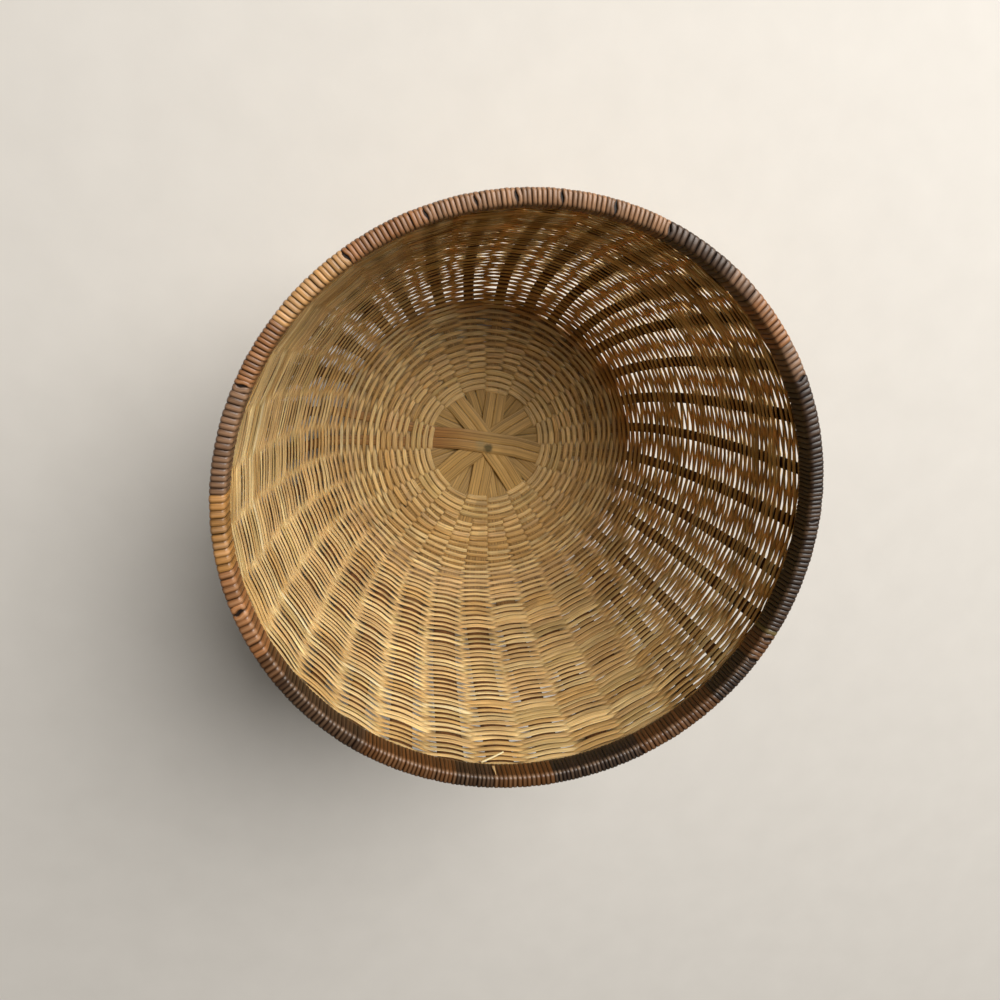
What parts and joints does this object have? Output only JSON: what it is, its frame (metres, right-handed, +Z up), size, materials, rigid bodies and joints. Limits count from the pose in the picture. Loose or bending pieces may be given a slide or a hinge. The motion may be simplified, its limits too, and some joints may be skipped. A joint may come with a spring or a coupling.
{
  "type": "pedestal wicker basket",
  "caption": "Round open basket woven from split cane, with a rounded bowl, a wrapped rim and a short woven pedestal with a wrapped foot.",
  "frame": {"origin": "middle of the foot's underside, on the surface the basket stands on", "axes": "+Z up along the basket's round axis, through the middle of the bowl's mouth; +X along the topmost splint of the star in the floor"},
  "size_m": [0.3048, 0.3048, 0.228],
  "materials": {
    "splint": "split cane, bare, brown where it is old, with long grain lines",
    "weave": "thin split cane weavers, bare, golden tan, satin",
    "hoop": "bent cane, bare, brown",
    "binding": "glossy skin of cane, in natural, orange-brown and near-black lengths"
  },
  "bodies": {
    "root": {"base_splint_1": "splint", "base_splint_2": "splint", "base_splint_3": "splint", "base_splint_4": "splint", "base_splint_5": "splint", "base_splint_6": "splint", "base_splint_7": "splint", "base_splint_8": "splint", "foot_stake_01": "splint", "foot_stake_02": "splint", "foot_stake_03": "splint", "foot_stake_04": "splint", "foot_stake_05": "splint", "foot_stake_06": "splint", "foot_stake_07": "splint", "foot_stake_08": "splint", "foot_stake_09": "splint", "foot_stake_10": "splint", "foot_stake_11": "splint", "foot_stake_12": "splint", "foot_stake_13": "splint", "foot_stake_14": "splint", "foot_stake_15": "splint", "foot_stake_16": "splint", "foot_stake_17": "splint", "foot_stake_18": "splint", "foot_stake_19": "splint", "foot_stake_20": "splint", "foot_stake_21": "splint", "foot_stake_22": "splint", "foot_stake_23": "splint", "foot_stake_24": "splint", "foot_stake_25": "splint", "foot_stake_26": "splint", "foot_stake_27": "splint", "foot_stake_28": "splint", "foot_stake_29": "splint", "foot_stake_30": "splint", "foot_stake_31": "splint", "foot_stake_32": "splint", "floor_weave": "weave", "floor_edge_weave": "weave", "corner_weave": "weave", "lower_wall_weave": "weave", "upper_wall_weave": "weave", "foot_weave": "weave", "rim_inner_hoop": "hoop", "rim_outer_hoop": "hoop", "rim_cap_strip": "hoop", "foot_inner_hoop": "hoop", "foot_outer_hoop": "hoop", "foot_collar": "hoop", "rim_binding": "binding", "foot_binding": "binding"}
  },
  "joints": []
}
